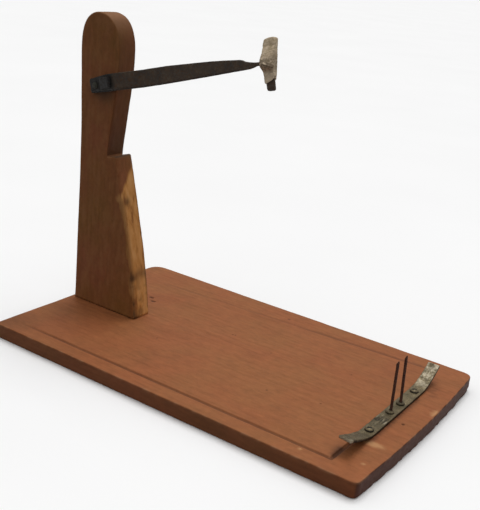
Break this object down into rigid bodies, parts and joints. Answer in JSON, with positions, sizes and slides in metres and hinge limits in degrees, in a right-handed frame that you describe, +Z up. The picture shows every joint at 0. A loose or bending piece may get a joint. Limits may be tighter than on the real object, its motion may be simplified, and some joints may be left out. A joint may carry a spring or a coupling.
{
  "type": "carving joint holding stand",
  "caption": "Wooden holding stand: grooved board, shaped post, iron arm with a turning padded crescent, and a curved iron cradle with nails.",
  "frame": {"origin": "centre of the board's underside", "axes": "+X runs along the board from the post to the cradle, +Y across the board, +Z up"},
  "size_m": [0.4556, 0.277, 0.3543],
  "materials": {
    "board_wood": "worn oiled reddish brown",
    "post_wood": "dark worn brown",
    "black_iron": "forged black scale",
    "dark_steel": "dark satin",
    "screw_steel": "dull, slightly green",
    "hidden_steel": "plain zinc",
    "cloth_tape": "soiled grey-beige tape",
    "grey_iron": "pitted olive grey",
    "rusty_iron": "dark rust"
  },
  "bodies": {
    "stand": {"base_board": "board_wood", "post": "post_wood", "post_screw_1": "hidden_steel", "post_screw_2": "hidden_steel", "arm_strap": "black_iron", "arm_coach_screw": "dark_steel", "arm_tail_screw": "screw_steel", "tang_washer": "hidden_steel", "cradle_strip": "grey_iron", "cradle_screw_1": "screw_steel", "cradle_screw_2": "screw_steel", "spike_1": "rusty_iron", "spike_2": "rusty_iron", "spike_collar_1": "grey_iron", "spike_collar_2": "grey_iron"},
    "head": {"head_bar": "black_iron", "head_socket": "black_iron", "head_wrap": "cloth_tape"}
  },
  "joints": [
    {"name": "head_swivel", "type": "hinge", "parent": "stand", "child": "head", "pos_m": [0.00833, -0.0088, 0.32952], "axis": [0.9681, 0, 0.2504], "continuous": true}
  ]
}
